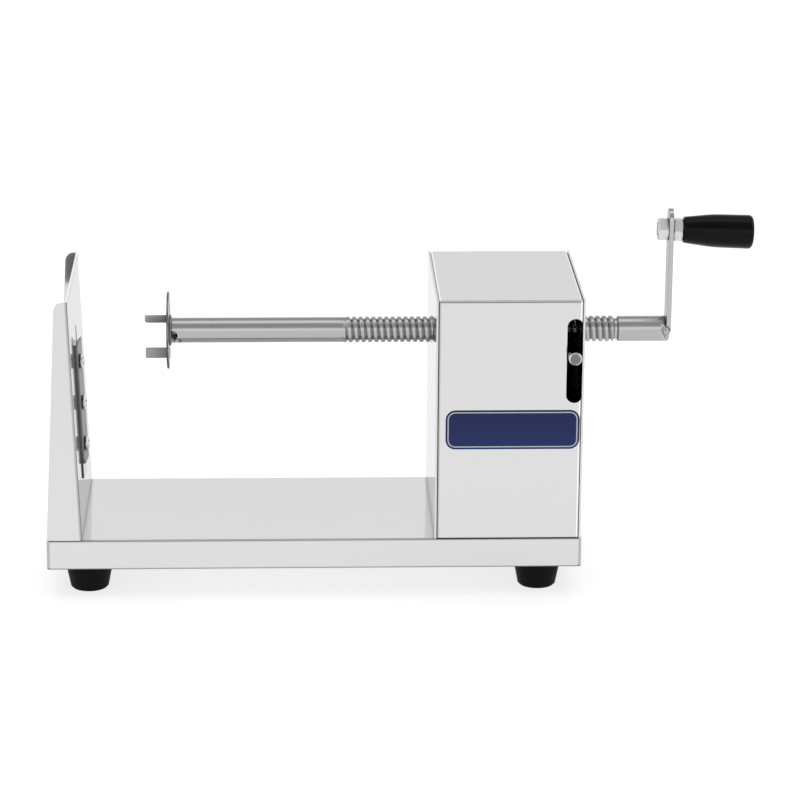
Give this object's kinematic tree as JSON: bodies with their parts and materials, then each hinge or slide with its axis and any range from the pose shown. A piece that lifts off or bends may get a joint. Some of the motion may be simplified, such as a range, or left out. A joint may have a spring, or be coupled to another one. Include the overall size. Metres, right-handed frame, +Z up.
{
  "type": "tornado potato cutter",
  "caption": "Hand-cranked spiral potato cutter: folded steel base, blade stand, boxed lead-screw drive with release lever, hollow spindle with pronged disc, crank with revolving grip.",
  "frame": {"origin": "middle of the whole machine's box, on the surface that its feet stand on", "axes": "+X from the blade stand to the crank, along the spindle; +Y from the release rod's side to the rear; +Z up"},
  "size_m": [0.4378, 0.13, 0.2312],
  "materials": {
    "stainless_sheet": "bright polished stainless sheet, softly reflecting",
    "plain_steel": "plain rolled steel, satin",
    "blade_steel": "ground knife steel",
    "turned_steel": "turned and drawn stainless, satin along the axis",
    "fastener_steel": "bright plated fasteners",
    "bearing_bronze": "turned bearing bronze",
    "spring_steel": "dark blued strip",
    "white_nylon": "nylon washer",
    "black_rubber": "black moulded rubber",
    "grip_plastic": "glossy black moulded plastic"
  },
  "bodies": {
    "frame": {"base_tray": "stainless_sheet", "foot_front_left": "black_rubber", "foot_rear_left": "black_rubber", "foot_front_right": "black_rubber", "foot_rear_right": "black_rubber", "foot_screws": "fastener_steel", "foot_washers": "fastener_steel", "foot_nuts": "fastener_steel", "base_screws": "fastener_steel", "base_nuts": "fastener_steel", "blade_stand": "stainless_sheet", "blade": "blade_steel", "blade_packing": "spring_steel", "blade_screws": "fastener_steel", "blade_nuts": "fastener_steel", "housing_cover": "stainless_sheet", "housing_left_panel": "stainless_sheet", "housing_right_panel": "stainless_sheet", "bearing_bracket": "plain_steel", "left_bush": "bearing_bronze", "right_bush": "bearing_bronze", "lever_pivot_pin": "fastener_steel", "pivot_sleeve": "fastener_steel", "pivot_washer": "white_nylon", "return_spring": "spring_steel", "spring_rivet": "fastener_steel"},
    "lever": {"release_lever": "plain_steel", "half_nut": "bearing_bronze", "half_nut_screws": "fastener_steel", "release_rod": "turned_steel"},
    "feed": {"disc_joint_ring": "turned_steel"},
    "crank": {"spindle": "turned_steel", "prong_disc": "turned_steel", "crank_arm": "turned_steel", "crank_welds": "turned_steel", "handle_stud": "fastener_steel", "stud_nut": "fastener_steel", "snap_ring": "fastener_steel"},
    "grip": {"handle_grip": "grip_plastic"}
  },
  "joints": [
    {"name": "spindle_feed", "type": "slide", "parent": "frame", "child": "feed", "axis": [-1, 0, 0], "range_m": [-0.1301, 0.0241]},
    {"name": "spindle_turn", "type": "hinge", "parent": "feed", "child": "crank", "pos_m": [0.00052, 0.005, 0.1542], "axis": [-1, 0, 0], "range_deg": [-11700, 2160]},
    {"name": "grip_spin", "type": "hinge", "parent": "crank", "child": "grip", "pos_m": [0.16742, 0.005, 0.218], "axis": [0.9993, 0, -0.0366], "continuous": true},
    {"name": "lever_release", "type": "hinge", "parent": "frame", "child": "lever", "pos_m": [0.00052, 0.045, 0.135], "axis": [1, 0, 0], "range_deg": [0, 14], "stiffness_Nm_per_rad": 1, "springref_deg": -17.19, "deforming": ["return_spring"]}
  ],
  "couplings": [
    {"joint": "spindle_feed", "follows": "spindle_turn", "m_per_rad": 0.00063662}
  ]
}
